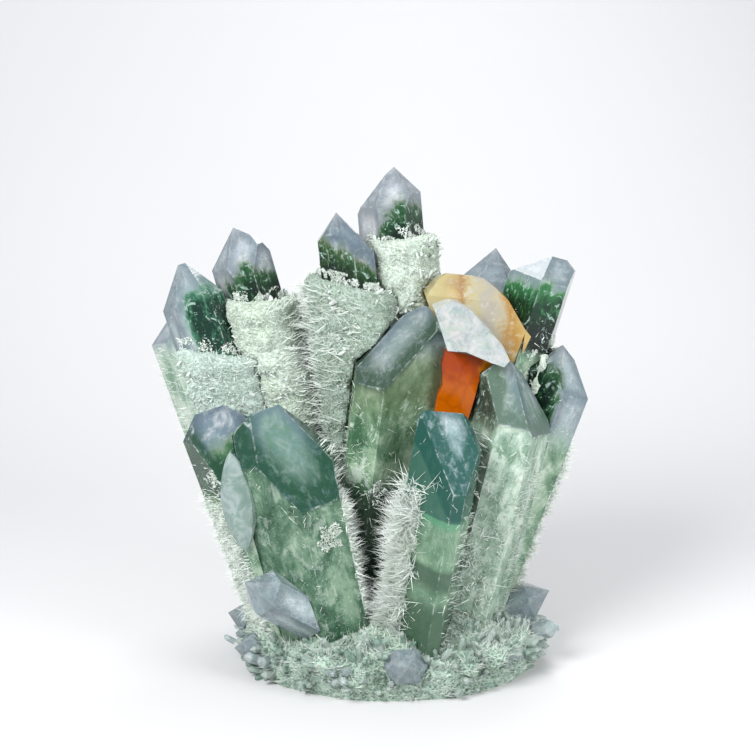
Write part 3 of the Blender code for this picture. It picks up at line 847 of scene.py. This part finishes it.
DRUSES = [
    # The upper stem's coat is the darkest and greenest: painted shade, as it lies in shadow.
    Druse("druse_upper_stem", "crystal_upper", length=(0.7, 3.4), needles=0.3, painted_shade=(184, 194, 188)),
    Druse("druse_top_stem", "crystal_top", length=(0.6, 2.0), needles=0.15),
    Druse("druse_left_stem", "crystal_left", needles=0.4, length=(0.8, 4.0), painted_shade=(208, 217, 217)),
    Druse("druse_back_left_stem", "crystal_back_left", needles=0.3),
    Druse("druse_needle_wall", "crystal_front", needles=8, length=(0.9, 7.5), width=0.17, up=0.35,
          side=(-1, 0.1, 0), start=19),
    Druse("druse_front_left_edge", "crystal_front_left", needles=5, length=(1.0, 4.5), width=0.17,
          side=(1, 0.1, 0)),
    Druse("druse_far_left_edge", "crystal_front_far_left", needles=6, length=(0.8, 3.5), width=0.16,
          side=(-1, 0.2, 0)),
    Druse("druse_right_edge", "crystal_right", needles=8, length=(0.8, 3.8), width=0.18, side=(1, -0.1, 0)),
    Druse("druse_far_right_stem", "crystal_far_right"),
    Druse("druse_front_right_foot", "crystal_front_right", needles=0.9, length=(1.0, 4.5), width=0.18,
          side=(-0.3, -1, 0)),
    Druse("druse_inner_stem", "crystal_inner"),
    Druse("druse_back_middle_stem", "crystal_back_middle"),
    Druse("druse_back_right_stem", "crystal_back_right"),
]


def area_of(mesh):
    return sum(face.area for face in mesh.polygons) / MM ** 2


def sown(name, samples, lean, spread, lengths, widths, crystals=False, upright=False):
    """A mesh of spikes, or of small crystals, that stand on some samples and lean as given, at random within
    'spread'. Lengths are the shortest, the range, and the power that makes long ones rare. The widths of
    small crystals are shares of their lengths."""
    points, normals, chance = samples
    count = len(points)
    directions = normals + lean + chance.normal(size=(count, 3)) * spread
    if upright:
        directions[:, 2] = np.abs(directions[:, 2])
    shortest, span, power = lengths
    lengths = shortest + span * chance.random(count) ** power
    widths = chance.uniform(*widths, count)
    if crystals:
        return prisms(name, points, directions, lengths, lengths * widths, chance)
    return spikes(name, points, directions, lengths, widths, chance)


def coat_points(druse, bed, seed):
    """The coat's sugar of stubby points."""
    samples = open_samples(bed, int(area_of(bed) * POINTS_DENSITY), seed, 1.2)
    lean = STEMS[druse.stem].up * druse.up
    return sown(druse.node + "_points", samples, lean, 0.5, (0.15, 0.35, 1), (0.3, 0.65))


def coat_grains(druse, bed, seed):
    """Larger single crystals that stand out of the coat here and there."""
    def keep(middles, normals):
        return np.clip(patchy(middles, 0.16) + 0.25, 0.02, 1)

    samples = open_samples(bed, int(area_of(bed) * GRAINS_DENSITY), 500 + seed, 1.5, keep)
    lean = STEMS[druse.stem].up * 0.5
    return sown(druse.node + "_grains", samples, lean, 0.7, (0.9, 1.6, 2), (0.12, 0.22), crystals=True)


def coat_needles(druse, bed, seed):
    """The coat's fine needles, in every direction away from it."""
    count = int(area_of(bed) * druse.needles)
    return needles_from(druse, *open_samples(bed, count, 100 + seed, 1.2))


def loose_needles(druse, shell, seed):
    """A loose coat's needles, on the crystal's own faces where the coat's node lies against them."""
    tree = tree_of(druse.node)
    tip, axis = STEMS[druse.stem].top, STEMS[druse.stem].up
    side = np.array(Vector(druse.side).normalized())

    def keep(middles, normals):
        near = [tree.find_nearest(Vector(middle), 1.3)[0] is not None for middle in middles]
        share = np.clip(((tip - middles) @ axis - druse.start) / 14, 0, 1)
        return np.array(near) * share * (normals @ side > 0.6)

    count = int(area_of(NODES[druse.node].data) * OUTER_SHARE * druse.needles)
    return needles_from(druse, *surface_samples(shell, count, 100 + seed, keep))


def needles_from(druse, points, normals, chance):
    count = len(points)
    axis = STEMS[druse.stem].up
    directions = normals * chance.uniform(0.15, 1.0, count)[:, None] + axis * druse.up
    directions += chance.normal(size=(count, 3)) * 0.45
    directions += np.array([noise.noise_vector(Vector(point) * 0.6) for point in points]) * 0.4
    tuft = patchy(points, 0.22)
    lengths = druse.length[0] + (druse.length[1] - druse.length[0]) * chance.random(count) ** 2.6
    lengths *= np.clip(1.0 + 0.8 * tuft, 0.5, 1.4)
    widths = druse.width * chance.uniform(0.5, 1.5, count)
    return spikes(druse.node + "_needles", points, directions, lengths, widths, chance)


def rim_sugar(druse, shell, seed):
    """Patches of sugar that climb a little higher than the coat does."""
    axis = STEMS[druse.stem].up
    tree = tree_of(druse.node)

    def keep(middles, normals):
        share = []
        for middle in middles:
            found = tree.find_nearest(Vector(middle), 3.0)
            share.append(0.0 if found[0] is None else max(0.0, 1.0 - found[3] / 3.0) ** 1.5)
        return np.array(share) * uncovered(middles, normals, 3.0) * (normals @ axis < 0.2)

    points, normals, chance = open_samples(shell, RIM_POINTS, 300 + seed, 1.0, keep)
    patch = patchy(points, 0.3) > -0.1
    samples = points[patch], normals[patch], chance
    return sown(druse.node + "_rim", samples, axis * 0.5, 0.5, (0.2, 0.7, 2), (0.15, 0.34))


def brush_mesh(stem, look, seed):
    """Strokes of green inside the tip: slivers along the axis, densest at their lower end."""
    top, low, count, left, right = look.brush
    chance = np.random.default_rng(seed)
    tips, sides = PLANES[stem.name]
    tries = count * 6
    span = low - top
    across = np.clip(chance.normal(0, 0.45, tries), -1, 1)
    lateral = np.where(across < 0, -across * left, across * right)
    away = chance.uniform(-9, 9, tries)
    patch = np.array([noise.noise(Vector((x * 0.28, y * 0.28, seed))) for x, y in zip(lateral, away)])
    peak = top + (np.abs(across) * 0.55 + np.abs(away) / 9 * 0.25 + patch * 0.5) * span
    foot = low + chance.uniform(-0.08, 0.12, tries) * span
    start = peak + (foot - peak) * chance.random(tries) ** 0.55
    length = np.minimum(chance.uniform(1.2, 4.5, tries), start - peak + 0.8)
    turn = np.array(stem.turn).T
    points = stem.top + np.stack([lateral, away, -start], axis=1) @ turn
    ends = stem.top + np.stack([lateral, away, length - start], axis=1) @ turn
    room = np.minimum(depth_inside(points, tips + sides), depth_inside(ends, tips + sides))
    chosen = np.flatnonzero((room > 1.3) & (length > 0.5))[:count]
    points, length = points[chosen], length[chosen]
    count = len(points)
    directions = stem.up + chance.normal(size=(count, 3)) * 0.12
    widths = chance.uniform(0.08, 0.2, count)
    return spikes(stem.name + "_brush", points, directions, length, widths, chance)


def brush_material(name, colours):
    graph = Graph(name)
    tone = graph.plus(graph.times(graph.attribute("reach"), 0.45),
                      graph.times(graph.attribute("tone"), 0.55))
    colour = graph.ramp(tone, [(0.15, colours[2]), (0.9, colours[1])])
    graph.set(Base_Color=colour, Roughness=0.6)
    return graph.material


def body_flecks(stem, shell, count, seed):
    """Small needles that lie almost flat on a crystal's bare sides."""
    axis = stem.up
    tip = stem.top

    def keep(middles, normals):
        down = (tip - middles) @ axis
        patch = np.clip(patchy(middles, 0.13) + 0.15, 0.02, 1)
        return (normals @ axis < 0.2) * (0.2 + np.clip(down / 60, 0, 1)) * patch

    points, normals, chance = open_samples(shell, count, seed, 1.0, keep)
    count = len(points)
    flat = np.cross(normals, chance.normal(size=(count, 3)))
    flat /= np.linalg.norm(flat, axis=1)[:, None]
    directions = flat + normals * chance.uniform(0.1, 0.7, count)[:, None] + axis * 0.4
    lengths = 0.5 + 3.0 * chance.random(count) ** 2
    widths = chance.uniform(0.05, 0.13, count)
    return spikes(stem.name + "_flecks", points, directions, lengths, widths, chance)


# Patches of sugar on bare faces: the crystal, the patch's middle in the drawing, its radius and its points
SUGAR_PATCHES = [
    ("crystal_front_left", (-11, -26, 44), 3.6, 700),
    ("crystal_front_far_left", (-42, -18, 58), 2.6, 160),
    ("crystal_centre", (2, -18, 52), 3.0, 260),
    ("crystal_front_right", (26, -22, 34), 4.0, 320),
]


def sugar_patch(name, stem, shell, middle, radius, count, seed):
    """A ragged patch of short points on a crystal's bare face."""
    middle = Vector(middle) + SHIFT
    everywhere, facing, chance = surface_samples(shell, count * 100, 700 + seed)
    ragged = patchy(everywhere, 0.5)
    away = np.hypot(everywhere[:, 0] - middle.x, everywhere[:, 2] - middle.z)
    side_on = (facing @ stem.up < 0.3) & (facing[:, 1] < -0.2)
    near = np.flatnonzero((away < radius * (0.85 + ragged)) & side_on)[:count]
    samples = everywhere[near], facing[near], chance
    return sown(name, samples, stem.up * 0.4, 0.5, (0.3, 0.9, 1), (0.15, 0.32))


# Long needles on a coat or a crystal, on the faces towards one side: the node, that side, from which to
# which depth below the tip, how many, how long, how wide, how much they lean up the stem, and how squarely
# the faces have to face the side
FRINGES = [
    ("druse_upper_stem", (-1, -0.3, 0), (19, 66), 1200, (1.5, 7.0), 0.22, 0.35, 0.35),
    ("druse_back_left_stem", (1, -0.4, 0), (22, 70), 1300, (1.2, 6.0), 0.22, 0.35, 0.35),
    ("druse_left_stem", (1, -0.4, 0), (30, 80), 700, (1, 5), 0.2, 0.35, 0.35),
    ("druse_upper_stem", (-0.2, -1, 0), (22, 84), 220, (1.5, 4.0), 0.17, 0.5, 0.35),
    ("crystal_front_left", (1, 0.2, 0), (12, 66), 420, (1.2, 4.5), 0.17, 0.5, 0.6),
    ("crystal_front_far_left", (-1, 0, 0), (20, 72), 600, (1.2, 4), 0.17, 0.2, 0.7),
    ("crystal_far_left", (-1, 0, 0), (12, 60), 320, (1, 3.4), 0.17, 0.2, 0.7),
    ("crystal_right", (1, 0, 0), (26, 80), 900, (1, 4), 0.17, 0.2, 0.5),
    ("druse_far_right_stem", (0, -1, 0), (24, 60), 300, (1, 3.5), 0.17, 0.4, 0.35),
    ("crystal_front_right", (0.3, -1, 0), (26, 76), 600, (1, 4.5), 0.17, 0.5, 0.35),
    ("crystal_front_right", (-1, -0.3, 0), (20, 70), 400, (1.5, 4.5), 0.17, 0.5, 0.35),
    ("crystal_front", (1, 0, 0), (26, 70), 160, (1, 3.0), 0.17, 0.5, 0.5),
    ("crystal_centre", (-1, -0.3, 0), (36, 80), 350, (1, 3.5), 0.17, 0.3, 0.35),
    ("druse_left_stem", (-0.4, -1, 0), (26, 70), 380, (1, 3.5), 0.17, 0.3, 0.35),
    ("crystal_left", (-1, -0.6, 0), (26, 70), 300, (1, 3.4), 0.17, 0.2, 0.35),
]
CARRIERS = {druse.node: druse.stem for druse in DRUSES}


def fringe_needles(fringe, surfaces, seed):
    """One fringe, on the coat or the crystal that it names."""
    node, side, (start, end), count, (shortest, longest), width, up, squarely = fringe
    stem = STEMS[CARRIERS.get(node, node)]
    side = np.array(Vector(side).normalized())

    def keep(middles, normals):
        down = (stem.top - middles) @ stem.up
        return (normals @ side > squarely) & (down > start) & (down < end)

    points, normals, chance = open_samples(surfaces[node], count, 1000 + seed, 1.5, keep)
    count = len(points)
    directions = normals * 0.6 + side * 0.5 + stem.up * up
    directions += chance.normal(size=(count, 3)) * 0.3
    lengths = shortest + (longest - shortest) * chance.random(count) ** 2
    widths = width * chance.uniform(0.6, 1.2, count)
    return spikes(f"{node}_fringe_{seed}", points, directions, lengths, widths, chance)


def prisms(name, points, directions, lengths, widths, chance):
    """One mesh of small six-sided crystals with pointed tips."""
    corners, triangles = [], []
    for point, direction, length, width in zip(points, directions, lengths, widths):
        axis = Vector(direction).normalized()
        side = axis.orthogonal().normalized()
        side.rotate(Matrix.Rotation(chance.random() * math.pi, 3, axis))
        other = axis.cross(side)
        start = len(corners)
        tip = Vector(point) + axis * length + side * width * chance.uniform(-0.3, 0.3)
        for level in (-0.6, length - width * 1.2):
            for index in range(6):
                angle = math.pi / 3 * index
                around = side * math.cos(angle) + other * math.sin(angle)
                corners.append(Vector(point) + axis * level + around * width)
        corners.append(tip)
        for index in range(6):
            beside = (index + 1) % 6
            low, low_next = start + index, start + beside
            triangles.append((low, low_next, low_next + 6))
            triangles.append((low, low_next + 6, low + 6))
            triangles.append((low + 6, low_next + 6, start + 12))
    return mesh_of_arrays(name, np.array(corners), np.array(triangles), {})


def leaf_mesh(name, tip, foot, half_width, half_depth):
    """A crystal worn to a spindle, pointed at both ends."""
    sides, rings = 9, 18
    tip, foot = Vector(tip) + SHIFT, Vector(foot) + SHIFT
    axis = (tip - foot).normalized()
    right = (Vector((1, 0, 0)) - axis * axis.x).normalized()
    away = axis.cross(right)
    shape = bmesh.new()
    loops = []
    for ring in range(1, rings):
        along = ring / rings
        swell = math.sin(math.pi * along) ** 0.75
        loop = []
        for side in range(sides):
            angle = 2 * math.pi * side / sides
            offset = right * math.cos(angle) * half_width + away * math.sin(angle) * half_depth
            loop.append(shape.verts.new(foot.lerp(tip, along) + offset * swell))
        loops.append(loop)
    ends = shape.verts.new(foot), shape.verts.new(tip)
    for low, high in zip(loops, loops[1:]):
        for side in range(sides):
            beside = (side + 1) % sides
            shape.faces.new((low[side], low[beside], high[beside], high[side]))
    for side in range(sides):
        beside = (side + 1) % sides
        shape.faces.new((ends[0], loops[0][beside], loops[0][side]))
        shape.faces.new((ends[1], loops[-1][side], loops[-1][beside]))
    return mesh_of(name, shape)


# Groups of larger clear crystals on the crust's rim: places, leanings, how many crystals, and how long
FOOT_GROUPS = [
    ((46, -12, 9), (0.8, -0.5, 0.6), 9, (5.0, 9.0)),
    ((40, -22, 6), (0.5, -0.9, 0.5), 7, (3.5, 7.0)),
    ((-30, -22, 6), (-0.6, -0.8, 0.4), 6, (3.5, 6.5)),
    ((-34, -8, 7), (-0.9, -0.4, 0.4), 5, (3.5, 6.5)),
    ((24, -34, 6), (0.2, -0.95, 0.5), 6, (3.0, 5.5)),
    ((-10, -36, 6), (-0.2, -0.95, 0.5), 6, (3.0, 6.0)),
    ((8, -38, 7), (0.0, -0.9, 0.7), 4, (3.0, 5.0)),
    ((30, 26, 7), (0.5, 0.8, 0.5), 6, (3.5, 7.0)),
    ((-20, 26, 7), (-0.5, 0.8, 0.5), 6, (3.5, 7.0)),
    ((5, 32, 7), (0.0, 0.95, 0.5), 6, (3.5, 7.0)),
]


def foot_groups():
    """The groups of larger clear crystals, in one mesh."""
    chance = np.random.default_rng(31)
    points, directions, lengths = [], [], []
    for middle, lean, count, span in FOOT_GROUPS:
        for _ in range(count):
            points.append(np.array(Vector(middle) + SHIFT) + chance.normal(size=3) * (2.6, 2.6, 1.2))
            direction = np.array(lean) + chance.normal(size=3) * 0.35
            directions.append((direction[0], direction[1], abs(direction[2])))
            lengths.append(chance.uniform(*span))
    lengths = np.array(lengths)
    widths = lengths * chance.uniform(0.2, 0.32, len(lengths))
    return prisms("foot_groups", points, directions, lengths, widths, chance)


def crust_points(mesh):
    """The crust's small crystals."""
    def keep(middles, normals):
        return (normals[:, 2] > -0.2) & (middles[:, 2] > 1.0)

    samples = open_samples(mesh, CRUST_POINTS, 7, 3.0, keep)
    return sown("crust_points", samples, 0, 0.35, (0.9, 4.0, 3), (0.14, 0.26), crystals=True, upright=True)


def crust_needles(mesh):
    """Fine needles all over the crust, above its foot."""
    def keep(middles, normals):
        return middles[:, 2] > 0.8

    samples = surface_samples(mesh, CRUST_NEEDLES, 8, keep)
    return sown("crust_needles", samples, 0, 0.5, (0.6, 3.0, 1.5), (0.08, 0.2), upright=True)


def stage_floor():
    """A pale floor that sweeps up into a pale wall."""
    shape = bmesh.new()
    half_width, front, back, bend, top = 900.0, -700.0, 420.0, 260.0, 900.0
    profile = [(front, 0.0), (back - bend, 0.0)]
    for step in range(1, 13):
        angle = math.pi / 2 * step / 12
        profile.append((back - bend + bend * math.sin(angle), bend * (1 - math.cos(angle))))
    profile.append((back, top))
    rows = []
    for y, z in profile:
        rows.append([shape.verts.new((x, y, z)) for x in (-half_width, half_width)])
    for low, high in zip(rows, rows[1:]):
        shape.faces.new((low[0], low[1], high[1], high[0]))
    mesh = mesh_of("floor", shape)
    for face in mesh.polygons:
        face.use_smooth = True
    graph = Graph("floor")
    place = graph.object_place()
    soft = graph.noise(place, 0.004, 2)
    graph.set(Base_Color=graph.mix(soft, (194, 194, 195), (197, 197, 198)), Roughness=0.85)
    floor = link(bpy.data.objects.new("floor", mesh))
    mesh.materials.append(graph.material)


def add_light(name, place, aim, size, power, glossy=True):
    lamp = bpy.data.lights.new(name, "AREA")
    lamp.shape = "DISK"
    lamp.size = size * MM
    lamp.energy = power
    thing = link(bpy.data.objects.new(name, lamp))
    thing.location = Vector(place) * MM
    thing.rotation_euler = (Vector(aim) - Vector(place)).to_track_quat("-Z", "Y").to_euler()
    thing.visible_glossy = glossy


def set_camera():
    rise, side = math.radians(CAMERA_RISE), math.radians(CAMERA_SIDE)
    out = Vector((math.sin(side) * math.cos(rise), -math.cos(side) * math.cos(rise), math.sin(rise)))
    camera = bpy.data.cameras.new("camera")
    camera.lens = CAMERA_LENS
    camera.sensor_width = SENSOR
    camera.clip_end = 10
    thing = link(bpy.data.objects.new("camera", camera))
    thing.location = (CAMERA_TARGET + SHIFT + out * CAMERA_DISTANCE) * MM
    thing.rotation_euler = (-out).to_track_quat("-Z", "Y").to_euler()
    bpy.context.scene.camera = thing


def set_world():
    world = bpy.data.worlds.new("studio")
    world.use_nodes = True
    background = world.node_tree.nodes["Background"]
    background.inputs["Color"].default_value = (0.87, 0.9, 0.94, 1)
    background.inputs["Strength"].default_value = 0.6
    bpy.context.scene.world = world
    bpy.context.scene.view_settings.view_transform = "Standard"


def simple_glass(name, colour, roughness, transmission, second, scale):
    """A glass that wanders between two colours."""
    graph = Graph(name)
    place = graph.object_place()
    value = graph.noise(place, scale, 5, 0.6, 0.8)
    colour = graph.mix(graph.between(value, 0.4, 0.65), colour, second)
    graph.set(Base_Color=colour, Roughness=roughness, IOR=QUARTZ_IOR, Transmission_Weight=transmission,
              Normal=graph.bump(graph.noise(place, 1.2, 3), 0.15, 0.2))
    return graph.material


def orange_material():
    graph = Graph("orange")
    place = graph.stem_place(STEMS["orange_block"])
    wander = graph.swing(graph.noise(place, 0.25, 5, 0.6), 9.0)
    depth = graph.plus(graph.depth(place), wander)
    right = graph.plus(graph.part(place, 0), wander)
    colour = graph.mix(graph.between(depth, -2.0, 5.0), (152, 56, 0), (180, 88, 0))
    colour = graph.mix(graph.between(right, 0.0, 4.5), colour, (204, 138, 18))
    veins = graph.cells(graph.stretched(place, 1, 1, 0.8), 0.16, "DISTANCE_TO_EDGE")
    veins = graph.between(veins, 0.0, 0.1, 0.2, 0.0)
    colour = graph.mix(veins, colour, (110, 30, 0))
    graph.set(Base_Color=colour, Roughness=0.06, IOR=QUARTZ_IOR, Transmission_Weight=0.35,
              Specular_IOR_Level=0.2, Normal=graph.bump(graph.noise(place, 0.7, 4), 0.3, 0.4))
    return graph.material


def yellow_material():
    graph = Graph("yellow")
    place = graph.stem_place(STEMS["yellow_crystal"])
    wander = graph.swing(graph.noise(place, 0.2, 6, 0.65), 16.0)
    along = graph.between(graph.plus(graph.part(place, 0), wander), -14.0, 14.0)
    colour = graph.ramp(along, [(0.0, (206, 194, 140)), (0.18, (178, 138, 92)), (0.32, (206, 196, 152)),
                                (0.5, (186, 182, 172)), (0.7, (196, 188, 160)), (0.84, (186, 138, 58)),
                                (1.0, (204, 178, 112))])
    mist = graph.between(graph.noise(place, 0.4, 7, 0.7), 0.5, 0.68, 0.0, 0.55)
    colour = graph.mix(mist, colour, (222, 219, 206))
    graph.set(Base_Color=colour, Roughness=0.08, IOR=QUARTZ_IOR, Transmission_Weight=0.5,
              Normal=graph.bump(graph.noise(place, 0.8, 5), 0.3, 0.4))
    return graph.material


def clear_material():
    graph = Graph("clear")
    place = graph.stem_place(STEMS["clear_cap"])
    mist = graph.noise(place, 0.3, 8, 0.72, 0.5)
    colour = graph.ramp(mist, [(0.34, (190, 204, 209)), (0.5, (228, 234, 236)), (0.6, (250, 251, 251))])
    tint = graph.between(graph.noise(place, 0.16, 2, 0.5, along=3), 0.5, 0.62, 0.0, 0.35)
    colour = graph.mix(tint, colour, (190, 226, 206))
    graph.set(Base_Color=colour, Roughness=0.05, IOR=QUARTZ_IOR, Transmission_Weight=0.7,
              Normal=graph.bump(mist, 0.4, 0.6))
    return graph.material


def plain_piece(name, material):
    shape = node_shape(name)
    bevelled(shape, 0.8)
    piece_of(name + "_shown", mesh_of(name, shape), material, [name])


def add_needles(mesh, material):
    """A piece of needles, unless the neighbours left room for none."""
    if mesh.polygons:
        piece_of(mesh.name, mesh, material)


def add_crystals():
    """The crystals: their shells, the bodies inside and the strokes in their tips."""
    shells = {}
    for seed, (name, look) in enumerate(LOOKS.items()):
        stem = STEMS[name]
        shells[name] = shell_mesh(stem)
        piece_of(name + "_shell", shells[name], shell_material(stem, look), [name])
        if look.core:
            piece_of(name + "_core", core_mesh(stem, look), core_material(stem, look))
            brush = brush_material(name + "_brush", look.stroke_colours)
            piece_of(name + "_brush", brush_mesh(stem, look, seed), brush)
    return shells


def add_coats(shells, long_needles):
    """The druse on the stems. Returns the meshes that fringes stand on."""
    grain_glass = simple_glass("grain_glass", (214, 226, 218), 0.12, 0.35, (236, 242, 238), 0.3)
    surfaces = dict(shells)
    for seed, druse in enumerate(DRUSES):
        shell = shells[druse.stem]
        if druse.side:
            mesh = loose_needles(druse, shell, seed)
            piece_of(druse.node + "_needles", mesh, long_needles, [druse.node])
            continue
        mesh = coat_bed(druse.node)
        surfaces[druse.node] = mesh
        bed = bed_material(druse.node + "_bed", (182, 196, 184), (221, 229, 222), druse.painted_shade)
        sugar = needle_material(druse.node + "_sugar", (182, 197, 184), (208, 219, 209), (237, 242, 238),
                                painted_shade=druse.painted_shade)
        piece_of(druse.node + "_points", coat_points(druse, mesh, seed), sugar)
        piece_of(druse.node + "_grains", coat_grains(druse, mesh, seed), grain_glass)
        piece_of(druse.node + "_needles", coat_needles(druse, mesh, seed), long_needles)
        piece_of(druse.node + "_rim", rim_sugar(druse, shell, seed), long_needles)
        piece_of(druse.node + "_bed", mesh, bed, [druse.node])
    return surfaces


def add_loose_needles(shells, surfaces, long_needles):
    """Fringes, flecks and patches of sugar."""
    for seed, fringe in enumerate(FRINGES):
        add_needles(fringe_needles(fringe, surfaces, seed), long_needles)
    for seed, (name, look) in enumerate(LOOKS.items()):
        if look.flecks:
            add_needles(body_flecks(STEMS[name], shells[name], look.flecks, seed), long_needles)
    for seed, (name, middle, radius, count) in enumerate(SUGAR_PATCHES):
        patch = sugar_patch(f"sugar_patch_{seed}", STEMS[name], shells[name], middle, radius, count, seed)
        add_needles(patch, long_needles)


def add_crust(long_needles):
    """The crust with its points, its needles and the clear groups at its rim."""
    shape = node_shape("base_crust")
    bmesh.ops.triangulate(shape, faces=shape.faces[:])
    crust = mesh_of("base_crust", shape)
    # The crust's bed is dark green-grey with paler patches: partly its own green, and partly painted shade
    # in the gaps between its needles and points.
    bed = bed_material("crust_bed", (52, 88, 72), (168, 188, 174))
    piece_of("crust_bed", crust, bed, ["base_crust"])
    group_glass = simple_glass("group_glass", (186, 204, 206), 0.06, 0.65, (222, 232, 230), 0.3)
    piece_of("foot_groups", foot_groups(), group_glass)
    crust_glass = simple_glass("crust_glass", (206, 218, 212), 0.08, 0.6, (140, 172, 156), 0.12)
    piece_of("crust_points", crust_points(crust), crust_glass)
    piece_of("crust_needles", crust_needles(crust), long_needles)


def main():
    set_camera()
    set_world()
    stage_floor()
    add_light("key", (-280, -340, 400), (0, 0, 70), 300, 4.5, glossy=False)
    add_light("fill", (330, -280, 200), (0, 0, 70), 260, 1.7, glossy=False)
    add_light("back", (90, 260, 420), (0, 0, 90), 240, 1.0)

    long_needles = needle_material("long_needles", (200, 216, 202), (230, 238, 232), (250, 253, 251), 0.2)
    shells = add_crystals()
    surfaces = add_coats(shells, long_needles)
    add_loose_needles(shells, surfaces, long_needles)
    plain_piece("orange_block", orange_material())
    plain_piece("yellow_crystal", yellow_material())
    plain_piece("clear_cap", clear_material())
    leaf_glass = simple_glass("leaf_glass", (140, 168, 158), 0.08, 0.55, (186, 202, 200), 0.2)
    leaf = leaf_mesh("leaf", (-37.6, -26, 66.5), (-33.6, -27.5, 38.5), 4.7, 3.4)
    piece_of("small_crystal_leaf_shown", leaf, leaf_glass, ["small_crystal_leaf"])
    add_crust(long_needles)


main()
